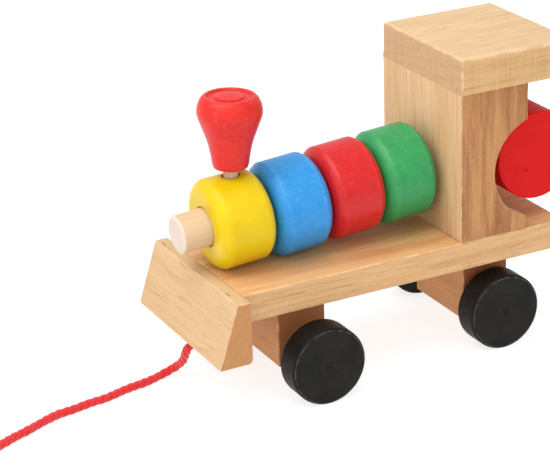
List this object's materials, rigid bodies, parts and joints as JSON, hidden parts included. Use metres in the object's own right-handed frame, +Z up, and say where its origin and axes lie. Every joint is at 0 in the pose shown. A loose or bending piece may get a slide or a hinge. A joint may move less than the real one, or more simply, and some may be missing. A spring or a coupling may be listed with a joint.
{
  "type": "wooden pull along train engine",
  "caption": "Wooden pull-along train engine on wheels, with a cab, turned beads threaded on a boiler dowel, a pull-out chimney, a drum behind the cab and a pull cord.",
  "frame": {"origin": "on the floor under the middle of the engine, halfway between the drum's back and the bumper's toe and midway across the wheels", "axes": "+X forward, the direction of pull; +Y to the engine's left side; +Z up"},
  "size_m": [0.2473, 0.0686, 0.1039],
  "materials": {
    "wood_board": "sanded, clear satin lacquer",
    "wood_dowel": "sanded, bare",
    "paint_black": "satin black paint on wood",
    "paint_yellow": "satin yellow paint on wood",
    "paint_blue": "satin blue paint on wood",
    "paint_red": "satin red paint on wood",
    "paint_green": "satin green paint on wood",
    "steel": "zinc plated wire",
    "cord_red": "twisted soft cord",
    "tie_white": "thin matte band"
  },
  "bodies": {
    "root": {"base_board": "wood_board", "front_bumper": "wood_board", "bumper_dowels": "wood_dowel", "front_axle_block": "wood_board", "rear_axle_block": "wood_board", "front_block_dowels": "wood_dowel", "rear_block_dowels": "wood_dowel", "cab_block": "wood_board", "cab_dowels": "wood_dowel", "roof": "wood_board", "roof_dowels": "wood_dowel", "boiler_dowel": "wood_dowel", "yellow_bead": "paint_yellow", "rear_drum": "paint_red", "screw_eye": "steel", "cord_knot": "cord_red", "pull_cord": "cord_red", "cord_coil": "cord_red", "coil_tie": "tie_white", "cord_end_knot": "cord_red"},
    "front_wheelset": {"front_axle": "wood_dowel", "front_left_wheel": "paint_black", "front_right_wheel": "paint_black"},
    "rear_wheelset": {"rear_axle": "wood_dowel", "rear_left_wheel": "paint_black", "rear_right_wheel": "paint_black"},
    "blue_bead": {"blue_bead": "paint_blue"},
    "red_bead": {"red_bead": "paint_red"},
    "green_bead": {"green_bead": "paint_green"},
    "chimney": {"chimney_knob": "paint_red", "chimney_peg": "wood_dowel"}
  },
  "joints": [
    {"name": "front_wheels_roll", "type": "hinge", "parent": "root", "child": "front_wheelset", "pos_m": [0.0329, 0, 0.0132], "axis": [0, 1, 0], "continuous": true},
    {"name": "rear_wheels_roll", "type": "hinge", "parent": "root", "child": "rear_wheelset", "pos_m": [-0.0378, 0, 0.0132], "axis": [0, 1, 0], "continuous": true},
    {"name": "blue_bead_spin", "type": "hinge", "parent": "root", "child": "blue_bead", "pos_m": [0.0286, 0, 0.05699], "axis": [0.9972, 0, -0.075], "continuous": true},
    {"name": "red_bead_spin", "type": "hinge", "parent": "root", "child": "red_bead", "pos_m": [0.0088, 0, 0.05848], "axis": [0.9972, 0, -0.075], "continuous": true},
    {"name": "green_bead_spin", "type": "hinge", "parent": "root", "child": "green_bead", "pos_m": [-0.0107, 0, 0.05995], "axis": [0.9972, 0, -0.075], "continuous": true},
    {"name": "chimney_lift", "type": "slide", "parent": "root", "child": "chimney", "axis": [0, 0, 1], "range_m": [0, 0.02]}
  ]
}
